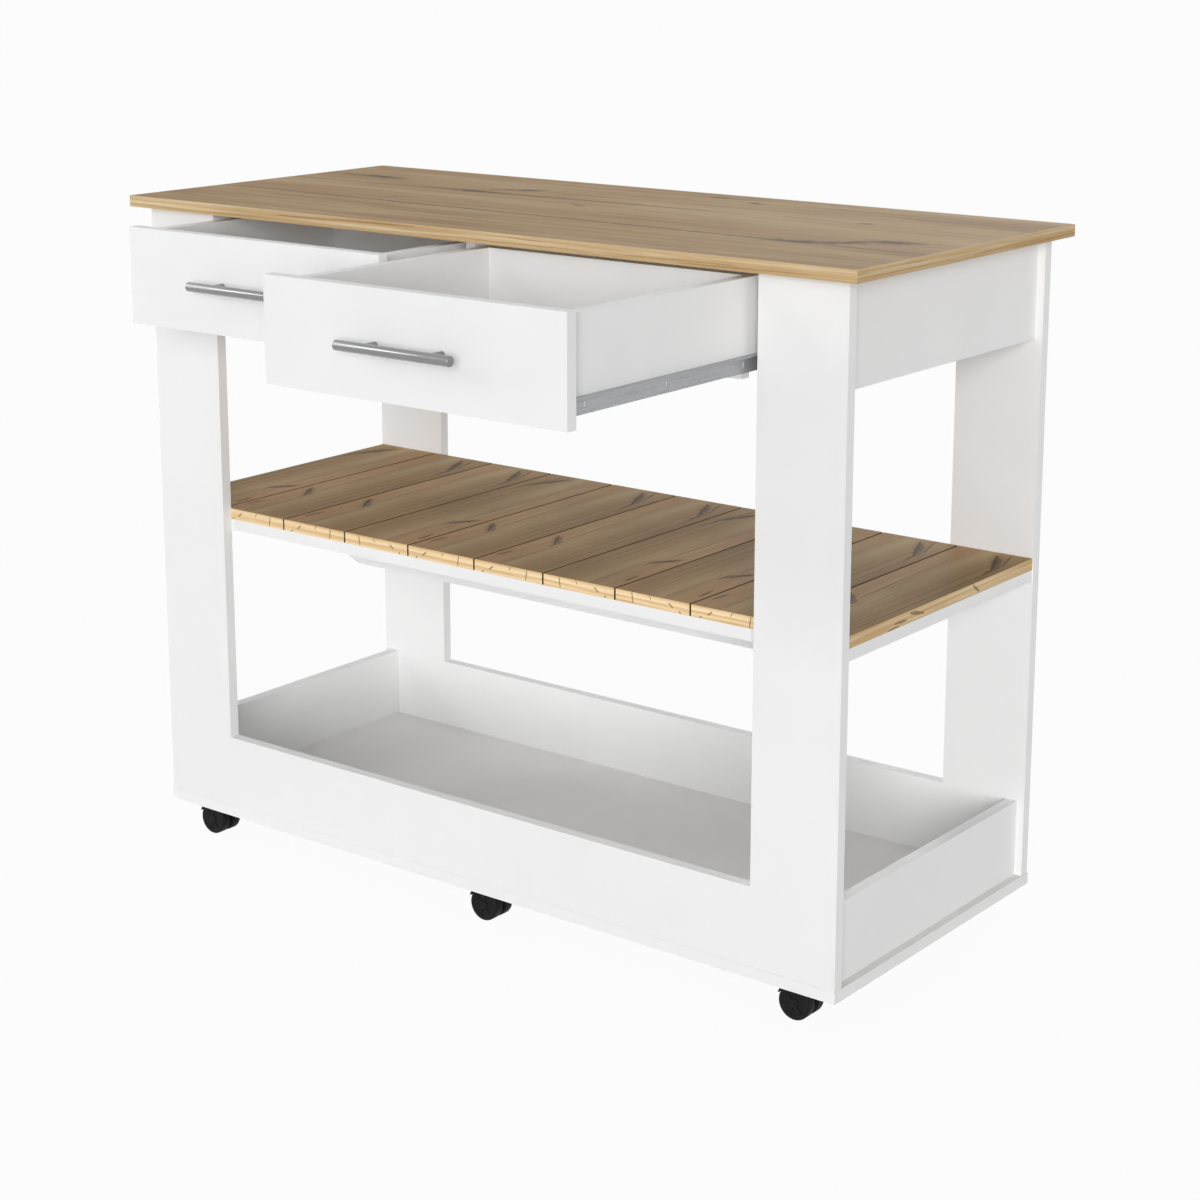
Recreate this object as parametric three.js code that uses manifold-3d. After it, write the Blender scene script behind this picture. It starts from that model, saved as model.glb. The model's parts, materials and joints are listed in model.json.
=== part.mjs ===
// Kitchen island unit on six casters: an oak-look worktop on a white carcass, two drawers on
// roller slides, a slatted middle shelf and an open tray at the bottom.
// Millimetres. X runs along the unit, Y towards its back and Z up. While the pieces are placed,
// X = 0 is the middle, Y = 0 the front face of the front legs and Z = 0 the floor. The last lines
// move the whole unit so that its origin lies on the floor, in the middle of its bounding box.

import * as THREE from 'three';
import { mergeVertices } from 'three/addons/utils/BufferGeometryUtils.js';
import Module from 'manifold-3d';

const wasm = await Module();
wasm.setup();

// ---------------------------------------------------------------- driving dimensions

// Carcass
const bodyLength = 1118;            // over the outer faces of the legs
const bodyDepth = 465;              // front face of the front legs to back face of the rear legs
const boardThickness = 15;          // every white board of the carcass but the base
const legWidth = 120.5;
const legHeight = 835;              // from the base board to the worktop
const baseThickness = 15;
const baseReveal = 1;               // how far the base board stands out past the legs
const trayWallHeight = 101;         // aprons and tray ends, above the base board
const endPanelRecess = 10;          // end panels set in from the outer faces of the legs
const upperPanelHeight = 127;       // boards round the drawer compartment, under the worktop

// Worktop
const worktopThickness = 15;
const worktopSideOverhang = 21;
const worktopFrontOverhang = 19.5;
const worktopBackOverhang = 19.5;

// Middle shelf
const shelfHeight = 397;            // underside of the shelf board above the base board
const shelfEndRecess = 1.5;         // shelf ends set in from the outer faces of the legs
const slatThickness = 15;
const slatPitch = 112.5;
const slatGap = 2.5;
const stiffenerLength = 880;
const stiffenerHeight = 86;
const stiffenerCutLength = 40;      // slanted lower corners
const stiffenerCutHeight = 17;

// Drawers
const leftDrawerOpen = 148.4;       // how far the left drawer stands open at rest
const rightDrawerShort = 7;         // the right one stands this much short of fully open
const frontHeight = 125;
const frontThickness = 15;
const frontTopGap = 3.5;            // drawer front to worktop
const frontSideGap = 2;             // drawer front to leg
const frontMiddleGap = 3;           // between the two drawer fronts
const frontBackGap = 1;             // closed drawer front to divider and slides
const sideThickness = 15;
const sideHeight = 107;
const sideTopDrop = 5;              // drawer sides end below the top of the front
const backThickness = 15;
const bottomThickness = 3;
const bottomRise = 8;               // drawer bottom above the lower edge of the sides
const grooveDepth = 5;
const grooveClearance = 0.3;

// Bar pulls
const pullLength = 166;
const pullDiameter = 12;
const pullHoleSpacing = 96;
const pullPostDiameter = 8;
const pullStandoff = 26;            // drawer front to the axis of the bar
const pullEndChamfer = 0.8;

// Roller slides
const slideGap = 12.7;              // drawer side to the board that carries the slide
const slideRearGap = 34;            // slides to the upper back panel
const slideTail = 50;               // slide behind the drawer box
const rollerStopGap = 12;           // between a slide's two rollers with the drawer fully open
const slideSheet = 1.2;
const slideWebHeight = 20;          // the drawer member's web
const slideFootWidth = 10;          // the drawer member's lip under the drawer side
const slideLipWidth = 8.5;          // the drawer member's lip over the cabinet member
const slideLipClearance = 0.5;      // between the two members' upper lips
const channelLipClearance = 1.2;    // cabinet member's lips to the drawer member's web
const rollerDiameter = 17;
const rollerWidth = 6.5;
const rollerClearance = 0.3;        // roller to the sheet that it runs on
const rollerPinDiameter = 5;
const rollerEndInset = 11;          // roller axis to the end of its member
const slotWidth = 3;
const slotHeight = 8;
const slotPlaces = [27, 170, 315];  // fixing slots of the drawer member, from its front end

// Casters
const casterHeight = 50;            // floor to the underside of the base board
const wheelDiameter = 44;
const wheelWidth = 14.1;
const wheelGap = 7.3;               // between the two wheels of a caster
const wheelEdgeRadius = 3;
const hubRecessDiameter = 30;
const hubRecessDepth = 1.2;
const hubCapDiameter = 12;
const casterTrail = 11;             // swivel axis to wheel axis
const casterEndInset = 61.5;        // swivel axis to the end of the body
const casterSideInset = 42;         // swivel axis to the front or the back of the body
const middleCasterShift = 12;       // the middle casters stand a little to the right
const axleDiameter = 6;
const axleClearance = 0.3;
const webClearance = 0.5;           // swivel body to the inner faces of the wheels
const webDiameter = 30;
const hoodClearance = 0.6;          // hood to the tread
const hoodThickness = 1.8;
const hoodHalfAngle = 68;           // degrees each way from the top
const swivelDiscDiameter = 26;
const swivelGap = 0.5;              // swivel body to its plate
const plateSize = 38;
const plateThickness = 2.5;
const kingpinDiameter = 7;
const kingpinLength = 8;
const kingpinClearance = 0.3;

// Facets of the round pieces
const pullSegments = 20;
const rollerSegments = 16;
const wheelSegments = 24;
const pinSegments = 12;
const arcDivisions = 6;             // half the straight steps of a drawn arc
const slotDivisions = 2;            // the same for the ends of a slot
const edgeSteps = 2;
const weldTolerance = 1e-4;

// ---------------------------------------------------------------- derived places

const bodyEnd = bodyLength / 2;
const legInner = bodyEnd - legWidth;
const frontBoardBack = boardThickness;
const rearBoardFront = bodyDepth - boardThickness;
const baseBottom = casterHeight;
const baseTop = baseBottom + baseThickness;
const worktopBottom = baseTop + legHeight;
const worktopTop = worktopBottom + worktopThickness;
const trayWallTop = baseTop + trayWallHeight;
const upperPanelBottom = worktopBottom - upperPanelHeight;
const endPanelOuter = bodyEnd - endPanelRecess;
const endPanelInner = endPanelOuter - boardThickness;
const shelfEnd = bodyEnd - shelfEndRecess;
const shelfBoardBottom = baseTop + shelfHeight;
const shelfBoardTop = shelfBoardBottom + boardThickness;
const slatTop = shelfBoardTop + slatThickness;
const dividerFace = boardThickness / 2;

const frontTop = worktopBottom - frontTopGap;
const frontBottom = frontTop - frontHeight;
const frontOuter = legInner - frontSideGap;
const frontInner = frontMiddleGap / 2;
const frontWidth = frontOuter - frontInner;
const compartmentWidth = legInner - dividerFace;
const boxWidth = compartmentWidth - 2 * slideGap;
const boxCentre = (legInner + dividerFace) / 2;
const frontCentre = (frontOuter + frontInner) / 2;
const sideTop = frontTop - sideTopDrop;
const sideBottom = sideTop - sideHeight;
const boxInnerWidth = boxWidth - 2 * sideThickness;
const slideFront = frontThickness + frontBackGap;
const slideLength = rearBoardFront - slideFront - slideRearGap;
const slideTravel = slideLength - frontBackGap - 2 * rollerEndInset - rollerDiameter - rollerStopGap;
const rightDrawerOpen = slideTravel - rightDrawerShort;
const boxLength = slideLength - slideTail;  // drawer sides, behind the front
const boxInnerLength = boxLength - backThickness;
const slideBottom = sideBottom - slideSheet;
const slideTop = slideBottom + slideWebHeight;
const lipUnderside = slideTop - slideSheet;
const channelTop = lipUnderside - slideLipClearance;
const channelInnerHeight = rollerDiameter + 2 * rollerClearance;
const channelBottom = channelTop - channelInnerHeight - 2 * slideSheet;

const wheelRadius = wheelDiameter / 2;
const casterX = bodyEnd - casterEndInset;
const frontmost = -Math.max(leftDrawerOpen, rightDrawerOpen) - pullStandoff - pullDiameter / 2;
const backmost = bodyDepth + worktopBackOverhang;

// ---------------------------------------------------------------- materials

const finish = (color, roughness, metalness = 0) =>
  new THREE.MeshStandardMaterial({ color, roughness, metalness });

const whiteBoard = finish(0xf2f2f0, 0.45);
const trayBoard = finish(0xe9e8e4, 0.5);
const oakTop = finish(0xa47e52, 0.5);
const oakSlat = finish(0x96714a, 0.5);
const zincSteel = finish(0x9d9d9d, 0.4, 0.85);
const brushedSteel = finish(0xb4b4b4, 0.3, 0.95);
const blackPlastic = finish(0x232323, 0.45);

// ---------------------------------------------------------------- helpers

const unit = new THREE.Group();

function place(parent, name, geometry, material, x = 0, y = 0, z = 0) {
  const mesh = new THREE.Mesh(geometry, material);
  mesh.name = name;
  mesh.position.set(x, y, z);
  parent.add(mesh);
  return mesh;
}

// A rectangular board given by its lowest and highest corners.
function board(parent, name, material, [x0, y0, z0], [x1, y1, z1]) {
  const geometry = new THREE.BoxGeometry(x1 - x0, y1 - y0, z1 - z0);
  return place(parent, name, geometry, material, (x0 + x1) / 2, (y0 + y1) / 2, (z0 + z1) / 2);
}

function boxAt([x0, y0, z0], [x1, y1, z1]) {
  const geometry = new THREE.BoxGeometry(x1 - x0, y1 - y0, z1 - z0);
  geometry.translate((x0 + x1) / 2, (y0 + y1) / 2, (z0 + z1) / 2);
  return geometry;
}

// A cylinder along X, Y or Z from one end to the other.
function rod(axis, radius, from, to, [x, y, z], segments) {
  const geometry = new THREE.CylinderGeometry(radius, radius, to - from, segments);
  geometry.translate(0, (from + to) / 2, 0);
  if (axis === 'x') geometry.rotateZ(-Math.PI / 2);
  if (axis === 'z') geometry.rotateX(Math.PI / 2);
  geometry.translate(x, y, z);
  return geometry;
}

// A closed outline of [a, b] points as a shape.
function outline(points) {
  return new THREE.Shape(points.map(([a, b]) => new THREE.Vector2(a, b)));
}

// An outline in the X-Z plane, drawn out along Y from one place to another.
function alongY(shape, from, to) {
  const geometry = new THREE.ExtrudeGeometry(shape, {
    depth: to - from,
    bevelEnabled: false,
    curveSegments: arcDivisions,
  });
  geometry.rotateX(Math.PI / 2);
  geometry.translate(0, to, 0);
  return geometry;
}

// An outline in the Y-Z plane, drawn out along X from one place to another.
function alongX(shape, from, to) {
  const geometry = new THREE.ExtrudeGeometry(shape, {
    depth: to - from,
    bevelEnabled: false,
    curveSegments: slotDivisions,
  });
  geometry.applyMatrix4(new THREE.Matrix4().makeBasis(
    new THREE.Vector3(0, 1, 0),
    new THREE.Vector3(0, 0, 1),
    new THREE.Vector3(1, 0, 0),
  ));
  geometry.translate(from, 0, 0);
  return geometry;
}

function solid(geometry) {
  const bare = geometry.clone();
  bare.deleteAttribute('normal');
  bare.deleteAttribute('uv');
  const merged = mergeVertices(bare, weldTolerance);
  return new wasm.Manifold(new wasm.Mesh({
    numProp: 3,
    vertProperties: Float32Array.from(merged.attributes.position.array),
    triVerts: Uint32Array.from(merged.index.array),
  }));
}

function surface(manifold) {
  const mesh = manifold.getMesh();
  const geometry = new THREE.BufferGeometry();
  geometry.setAttribute('position', new THREE.BufferAttribute(mesh.vertProperties, 3));
  geometry.setIndex(new THREE.BufferAttribute(mesh.triVerts, 1));
  geometry.computeVertexNormals();
  return geometry;
}

// The first geometry joined with the others, less the cutters.
function combine(joined, cutters = []) {
  let result = solid(joined[0]);
  for (const geometry of joined.slice(1)) {
    result = result.add(solid(geometry));
  }
  for (const geometry of cutters) {
    result = result.subtract(solid(geometry));
  }
  return surface(result);
}

const sides = [['left', -1], ['right', 1]];

// Puts two X places in rising order for the chosen side of the unit.
function mirrored(sign, inner, outer) {
  return sign < 0 ? [-outer, -inner] : [inner, outer];
}

// ---------------------------------------------------------------- carcass

function addCarcass() {
  board(unit, 'worktop', oakTop,
    [-bodyEnd - worktopSideOverhang, -worktopFrontOverhang, worktopBottom],
    [bodyEnd + worktopSideOverhang, bodyDepth + worktopBackOverhang, worktopTop]);

  const rows = [['front', 0, frontBoardBack], ['rear', rearBoardFront, bodyDepth]];
  for (const [row, y0, y1] of rows) {
    for (const [side, sign] of sides) {
      const [x0, x1] = mirrored(sign, legInner, bodyEnd);
      board(unit, `${row}_leg_${side}`, whiteBoard, [x0, y0, baseTop], [x1, y1, worktopBottom]);
    }
    board(unit, `${row}_apron`, whiteBoard, [-legInner, y0, baseTop], [legInner, y1, trayWallTop]);
  }

  for (const [side, sign] of sides) {
    const [x0, x1] = mirrored(sign, endPanelInner, endPanelOuter);
    board(unit, `tray_end_${side}`, whiteBoard,
      [x0, frontBoardBack, baseTop], [x1, rearBoardFront, trayWallTop]);
    board(unit, `upper_end_panel_${side}`, whiteBoard,
      [x0, frontBoardBack, upperPanelBottom], [x1, rearBoardFront, worktopBottom]);
    const [p0, p1] = mirrored(sign, legInner, legInner + boardThickness);
    board(unit, `drawer_partition_${side}`, whiteBoard,
      [p0, frontBoardBack, upperPanelBottom], [p1, rearBoardFront, worktopBottom]);
  }

  board(unit, 'centre_divider', whiteBoard,
    [-dividerFace, slideFront, upperPanelBottom], [dividerFace, rearBoardFront, worktopBottom]);
  board(unit, 'upper_back_panel', whiteBoard,
    [-legInner, rearBoardFront, upperPanelBottom], [legInner, bodyDepth, worktopBottom]);
}

// ---------------------------------------------------------------- middle shelf

function addShelf() {
  board(unit, 'shelf_board', whiteBoard,
    [-shelfEnd, frontBoardBack, shelfBoardBottom], [shelfEnd, rearBoardFront, shelfBoardTop]);

  // The seams lie either side of the middle, and the end slats fill what is left.
  const seams = [0];
  for (let x = slatPitch; x + slatGap < shelfEnd; x += slatPitch) {
    seams.unshift(-x);
    seams.push(x);
  }
  const starts = [-shelfEnd, ...seams.map((x) => x + slatGap / 2)];
  const ends = [...seams.map((x) => x - slatGap / 2), shelfEnd];
  starts.forEach((x0, index) => {
    board(unit, `shelf_slat_${index + 1}`, oakSlat,
      [x0, frontBoardBack, shelfBoardTop], [ends[index], rearBoardFront, slatTop]);
  });

  const half = stiffenerLength / 2;
  const low = shelfBoardBottom - stiffenerHeight;
  const shape = outline([
    [-half, shelfBoardBottom],
    [-half, low + stiffenerCutHeight],
    [-half + stiffenerCutLength, low],
    [half - stiffenerCutLength, low],
    [half, low + stiffenerCutHeight],
    [half, shelfBoardBottom],
  ]);
  const middle = bodyDepth / 2;
  place(unit, 'shelf_stiffener', alongY(shape, middle - boardThickness / 2,
    middle + boardThickness / 2), whiteBoard);
}

// ---------------------------------------------------------------- base board and casters

const casters = [];
for (const [row, y] of [['front', casterSideInset], ['rear', bodyDepth - casterSideInset]]) {
  const columns = [['left', -casterX], ['middle', middleCasterShift], ['right', casterX]];
  for (const [column, x] of columns) {
    casters.push({ name: `${row}_${column}`, x, y });
  }
}

// The board with a steel mounting plate under it at each caster, and a bore for each kingpin.
function addBaseBoard() {
  const joined = [boxAt(
    [-bodyEnd - baseReveal, -baseReveal, baseBottom],
    [bodyEnd + baseReveal, bodyDepth + baseReveal, baseTop],
  )];
  const cutters = [];
  const boreBottom = baseBottom - plateThickness - swivelGap;
  const boreTop = boreBottom + kingpinLength + kingpinClearance;
  for (const { x, y } of casters) {
    joined.push(boxAt(
      [x - plateSize / 2, y - plateSize / 2, baseBottom - plateThickness],
      [x + plateSize / 2, y + plateSize / 2, baseBottom + plateThickness],
    ));
    cutters.push(rod('z', kingpinDiameter / 2 + kingpinClearance, boreBottom, boreTop,
      [x, y, 0], pinSegments));
  }
  place(unit, 'base_board', combine(joined, cutters), trayBoard);
}

// One turned piece: two wheels and the axle between them, about the Y axis.
function wheelPairGeometry() {
  const inner = wheelGap / 2;
  const outer = inner + wheelWidth;
  const face = outer - hubRecessDepth;
  const half = [
    [0, outer],
    [hubCapDiameter / 2, outer],
    [hubCapDiameter / 2, face],
    [hubRecessDiameter / 2, face],
    [hubRecessDiameter / 2 + hubRecessDepth, outer],
  ];
  const corner = wheelRadius - wheelEdgeRadius;
  for (let step = 0; step <= edgeSteps; step += 1) {
    const angle = (Math.PI / 2) * (1 - step / edgeSteps);
    half.push([
      corner + wheelEdgeRadius * Math.cos(angle),
      outer - wheelEdgeRadius + wheelEdgeRadius * Math.sin(angle),
    ]);
  }
  half.push([wheelRadius, inner], [axleDiameter / 2, inner]);
  const profile = [...half, ...half.slice().reverse().map(([radius, y]) => [radius, -y])];
  const points = profile.reverse().map(([radius, y]) => new THREE.Vector2(radius, y));
  return new THREE.LatheGeometry(points, wheelSegments);
}

// The swivel body: kingpin, top disc, hood over the wheels and the web that holds the axle.
// The swivel axis is X = Y = 0, and Z = 0 is the underside of the mounting plate.
function swivelBodyGeometry() {
  const top = -swivelGap;
  const axleX = -casterTrail;
  const axleZ = plateThickness - casterHeight + wheelRadius;
  const hoodInner = wheelRadius + hoodClearance;
  const hoodOuter = hoodInner + hoodThickness;
  const halfWidth = wheelGap / 2 + wheelWidth;
  const halfAngle = THREE.MathUtils.degToRad(hoodHalfAngle);
  const from = Math.PI / 2 - halfAngle;
  const to = Math.PI / 2 + halfAngle;

  const hood = new THREE.Shape();
  hood.absarc(axleX, axleZ, hoodOuter, from, to, false);
  hood.absarc(axleX, axleZ, hoodInner, to, from, true);

  const web = new THREE.Shape();
  web.absarc(axleX, axleZ, webDiameter / 2, 0, 2 * Math.PI, false);
  const webHalf = wheelGap / 2 - webClearance;
  const neck = outline([
    [axleX - webDiameter / 2, axleZ],
    [axleX + webDiameter / 2, axleZ],
    [swivelDiscDiameter / 2 - hoodThickness, top - hoodThickness / 2],
    [axleX - webDiameter / 2, top - hoodThickness],
  ]);

  return combine(
    [
      alongY(hood, -halfWidth, halfWidth),
      alongY(web, -webHalf, webHalf),
      alongY(neck, -webHalf, webHalf),
      rod('z', swivelDiscDiameter / 2, top - hoodThickness, top, [0, 0, 0], wheelSegments),
      rod('z', kingpinDiameter / 2, top - hoodThickness, top + kingpinLength, [0, 0, 0], pinSegments),
    ],
    [
      rod('y', axleDiameter / 2 + axleClearance, -halfWidth, halfWidth,
        [axleX, 0, axleZ], pinSegments),
    ],
  );
}

function addCasters() {
  const swivelBody = swivelBodyGeometry();
  const wheelPair = wheelPairGeometry();
  for (const { name, x, y } of casters) {
    place(unit, `caster_${name}_swivel`, swivelBody, blackPlastic,
      x, y, baseBottom - plateThickness);
    place(unit, `caster_${name}_wheels`, wheelPair, blackPlastic,
      x - casterTrail, y, wheelRadius);
  }
}

// ---------------------------------------------------------------- roller slides

// Both members are drawn for a slide on the right of its drawer: X = 0 is the drawer side, and
// positive X leads to the board that carries the slide. Y = 0 is the member's front end.

// An upright slot in the web, in the Y-Z plane.
function slotShape(y) {
  const shape = new THREE.Shape();
  const z = (slideBottom + slideTop) / 2;
  const reach = (slotHeight - slotWidth) / 2;
  shape.absarc(y, z + reach, slotWidth / 2, 0, Math.PI, false);
  shape.absarc(y, z - reach, slotWidth / 2, Math.PI, 2 * Math.PI, false);
  return shape;
}

function drawerMemberGeometry() {
  const profile = outline([
    [-slideFootWidth, slideBottom],
    [slideSheet, slideBottom],
    [slideSheet, lipUnderside],
    [slideSheet + slideLipWidth, lipUnderside],
    [slideSheet + slideLipWidth, slideTop],
    [0, slideTop],
    [0, sideBottom],
    [-slideFootWidth, sideBottom],
  ]);
  const rollerY = slideLength - rollerEndInset;
  const rollerZ = channelTop - slideSheet - rollerClearance - rollerDiameter / 2;
  const rollerX = slideSheet + channelLipClearance;
  return combine(
    [
      alongY(profile, 0, slideLength),
      rod('x', rollerPinDiameter / 2, 0, rollerX + rollerWidth / 2,
        [0, rollerY, rollerZ], pinSegments),
      rod('x', rollerDiameter / 2, rollerX, rollerX + rollerWidth,
        [0, rollerY, rollerZ], rollerSegments),
    ],
    slotPlaces.map((y) => alongX(slotShape(y), -slideSheet, 2 * slideSheet)),
  );
}

function cabinetMemberGeometry() {
  const web = slideGap - slideSheet;
  const lipEdge = slideSheet + channelLipClearance;
  const profile = outline([
    [lipEdge, channelBottom],
    [slideGap, channelBottom],
    [slideGap, channelTop],
    [lipEdge, channelTop],
    [lipEdge, channelTop - slideSheet],
    [web, channelTop - slideSheet],
    [web, channelBottom + slideSheet],
    [lipEdge, channelBottom + slideSheet],
  ]);
  const rollerZ = lipUnderside - rollerClearance - rollerDiameter / 2;
  const rollerX = web - channelLipClearance;
  // The upper lip is cut away over the front roller.
  const noseLength = rollerEndInset + rollerDiameter / 2 + channelLipClearance;
  const notch = boxAt([lipEdge - slideSheet, -slideSheet, channelTop - 2 * slideSheet],
    [web, noseLength, channelTop + slideSheet]);
  const channel = combine([alongY(profile, 0, slideLength)], [notch]);
  return combine([
    channel,
    rod('x', rollerPinDiameter / 2, rollerX - rollerWidth / 2, slideGap,
      [0, rollerEndInset, rollerZ], pinSegments),
    rod('x', rollerDiameter / 2, rollerX - rollerWidth, rollerX,
      [0, rollerEndInset, rollerZ], rollerSegments),
  ]);
}

// A copy for a slide on the left of its drawer.
function flipped(geometry) {
  const copy = geometry.clone();
  copy.scale(-1, 1, 1);
  const order = copy.index.array;
  for (let i = 0; i < order.length; i += 3) {
    [order[i], order[i + 1]] = [order[i + 1], order[i]];
  }
  copy.computeVertexNormals();
  return copy;
}

const drawerMember = drawerMemberGeometry();
const cabinetMember = cabinetMemberGeometry();
const memberFor = { left: flipped(drawerMember), right: drawerMember };
const channelFor = { left: flipped(cabinetMember), right: cabinetMember };

// ---------------------------------------------------------------- drawers

// A drawer front with the stopped groove that holds the drawer bottom. The groove follows the
// box, whose middle lies boxShift from the middle of the front.
function drawerFrontGeometry(bottomWidth, boxShift, grooveLow, grooveHigh) {
  return combine(
    [boxAt([-frontWidth / 2, 0, frontBottom], [frontWidth / 2, frontThickness, frontTop])],
    [boxAt(
      [boxShift - bottomWidth / 2 - grooveClearance, frontThickness - grooveDepth, grooveLow],
      [boxShift + bottomWidth / 2 + grooveClearance, frontThickness + grooveDepth, grooveHigh],
    )],
  );
}

// A drawer side whose inner face looks towards positive X.
function drawerSideGeometry(grooveLow, grooveHigh) {
  const profile = outline([
    [0, sideBottom],
    [sideThickness, sideBottom],
    [sideThickness, grooveLow],
    [sideThickness - grooveDepth, grooveLow],
    [sideThickness - grooveDepth, grooveHigh],
    [sideThickness, grooveHigh],
    [sideThickness, sideTop],
    [0, sideTop],
  ]);
  return alongY(profile, 0, boxLength);
}

function drawerBackGeometry(grooveLow, grooveHigh) {
  const profile = outline([
    [0, frontBottom],
    [backThickness, frontBottom],
    [backThickness, sideTop],
    [0, sideTop],
    [0, grooveHigh],
    [grooveDepth, grooveHigh],
    [grooveDepth, grooveLow],
    [0, grooveLow],
  ]);
  return alongX(profile, -boxInnerWidth / 2, boxInnerWidth / 2);
}

function pullGeometry() {
  const radius = pullDiameter / 2;
  const end = pullLength / 2;
  const points = [
    [0, -end],
    [radius - pullEndChamfer, -end],
    [radius, -end + pullEndChamfer],
    [radius, end - pullEndChamfer],
    [radius - pullEndChamfer, end],
    [0, end],
  ].map(([r, y]) => new THREE.Vector2(r, y));
  const bar = new THREE.LatheGeometry(points, pullSegments);
  bar.rotateZ(-Math.PI / 2);
  bar.translate(0, -pullStandoff, 0);
  const posts = [-1, 1].map((sign) => rod('y', pullPostDiameter / 2, -pullStandoff, 0,
    [sign * pullHoleSpacing / 2, 0, 0], pinSegments));
  return combine([bar, ...posts]);
}

function addDrawer(side, sign, open) {
  const drawer = new THREE.Group();
  drawer.position.y = -open;
  unit.add(drawer);

  const middle = sign * boxCentre;
  const low = sideBottom + bottomRise - grooveClearance;
  const high = sideBottom + bottomRise + bottomThickness + grooveClearance;
  const bottomWidth = boxInnerWidth + 2 * (grooveDepth - grooveClearance);
  const bottomLength = boxInnerLength + 2 * (grooveDepth - grooveClearance);
  const name = (piece) => `${side}_drawer_${piece}`;

  const frontX = sign * frontCentre;
  place(drawer, name('front'), drawerFrontGeometry(bottomWidth, middle - frontX, low, high),
    whiteBoard, frontX);

  const sideGeometry = drawerSideGeometry(low, high);
  place(drawer, name('side_left'), sideGeometry, whiteBoard,
    middle - boxWidth / 2, frontThickness);
  const rightSide = place(drawer, name('side_right'), sideGeometry, whiteBoard,
    middle + boxWidth / 2, frontThickness + boxLength);
  rightSide.rotation.z = Math.PI;

  place(drawer, name('back'), drawerBackGeometry(low, high), whiteBoard,
    middle, frontThickness + boxInnerLength);
  board(drawer, name('bottom'), trayBoard,
    [middle - bottomWidth / 2, frontThickness - grooveDepth + grooveClearance,
      sideBottom + bottomRise],
    [middle + bottomWidth / 2, frontThickness - grooveDepth + grooveClearance + bottomLength,
      sideBottom + bottomRise + bottomThickness]);
  place(drawer, name('pull'), pullGeometry(), brushedSteel,
    frontX, 0, (frontTop + frontBottom) / 2);

  for (const [hand, handSign] of sides) {
    const sideFace = middle + handSign * boxWidth / 2;
    place(drawer, name(`slide_${hand}`), memberFor[hand], zincSteel, sideFace, frontThickness);
    place(unit, `${side}_cabinet_channel_${hand}`, channelFor[hand], zincSteel, sideFace, slideFront);
  }
}

// ---------------------------------------------------------------- assembly

addCarcass();
addShelf();
addBaseBoard();
addCasters();
addDrawer('left', -1, leftDrawerOpen);
addDrawer('right', 1, rightDrawerOpen);

const group = new THREE.Group();
unit.position.y = -(frontmost + backmost) / 2;
group.add(unit);

export default group;
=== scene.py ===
import json
import math

import bmesh
import bpy
from mathutils import Matrix, Vector


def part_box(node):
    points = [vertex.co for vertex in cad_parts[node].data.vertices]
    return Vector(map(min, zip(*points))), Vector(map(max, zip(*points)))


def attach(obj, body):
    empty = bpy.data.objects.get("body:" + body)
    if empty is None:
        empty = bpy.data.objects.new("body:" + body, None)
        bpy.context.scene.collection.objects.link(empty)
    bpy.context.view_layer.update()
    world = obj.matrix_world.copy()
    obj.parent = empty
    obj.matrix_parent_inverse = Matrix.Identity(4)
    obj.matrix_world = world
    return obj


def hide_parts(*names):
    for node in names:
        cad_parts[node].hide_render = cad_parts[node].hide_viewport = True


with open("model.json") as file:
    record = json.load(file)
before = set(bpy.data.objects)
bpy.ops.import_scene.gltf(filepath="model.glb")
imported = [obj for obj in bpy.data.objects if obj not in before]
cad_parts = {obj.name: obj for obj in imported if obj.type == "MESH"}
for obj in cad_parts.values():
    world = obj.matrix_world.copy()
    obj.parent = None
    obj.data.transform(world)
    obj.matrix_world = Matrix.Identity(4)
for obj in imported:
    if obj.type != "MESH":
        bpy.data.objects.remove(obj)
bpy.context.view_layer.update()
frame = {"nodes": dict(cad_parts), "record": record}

NODES = frame["nodes"]
MM = 0.001

# ------------------------------------------------------------------ sizes, in metres

HAIR = 0.1 * MM
BOARD = 15 * MM
EDGE_BAND = 1.3 * MM
SLAT_PITCH = 112.5 * MM

TOP_ARRIS = 1.0 * MM
SLAT_ARRIS = 0.7 * MM
BOARD_ARRIS = 0.5 * MM
PANEL_ARRIS = 0.4 * MM
SWIVEL_ARRIS = 0.35 * MM

PULL_RADIUS = 6 * MM
PULL_CHAMFER = 1.3 * MM
POST_RADIUS = 4 * MM
POST_CHAMFER = 0.4 * MM
POST_SPACING = 96 * MM

WHEEL_RADIUS = 22 * MM
WHEEL_GAP = 7.3 * MM
TREAD_EDGE = 3.0 * MM
INNER_EDGE = 1.0 * MM
RIM_RADIUS = 15.4 * MM
RIM_SLOPE = 0.8 * MM
RIM_LAND = 1.3 * MM
RIM_DROP = 0.3 * MM
RECESS = 1.2 * MM
HUB_RADIUS = 6.0 * MM
HUB_EDGE = 0.6 * MM
AXLE_RADIUS = 3.0 * MM
SPOKES = 6
SPOKE_START = 15
SPOKE_WIDTH = 1.3 * MM
SPOKE_RISE = 0.9 * MM
CASTER_TRAIL = 11 * MM

SHEET = 1.2 * MM
ROLLER_RADIUS = 8.62 * MM
ROLLER_WIDTH = 6.5 * MM
ROLLER_BORE = 2.4 * MM
ROLLER_CHAMFER = 0.5 * MM
ROLLER_STEP = (2.6 * MM, 2.2 * MM)
ROLLER_BOSS = 0.15 * MM
ROLLER_FACE = 0.02 * MM
ROLLER_INSET = 11 * MM
ROLLER_DROP = 8.5 * MM
CHANNEL_PLAY = 0.2 * MM
FLANGE_PLAY = 0.3 * MM

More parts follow.
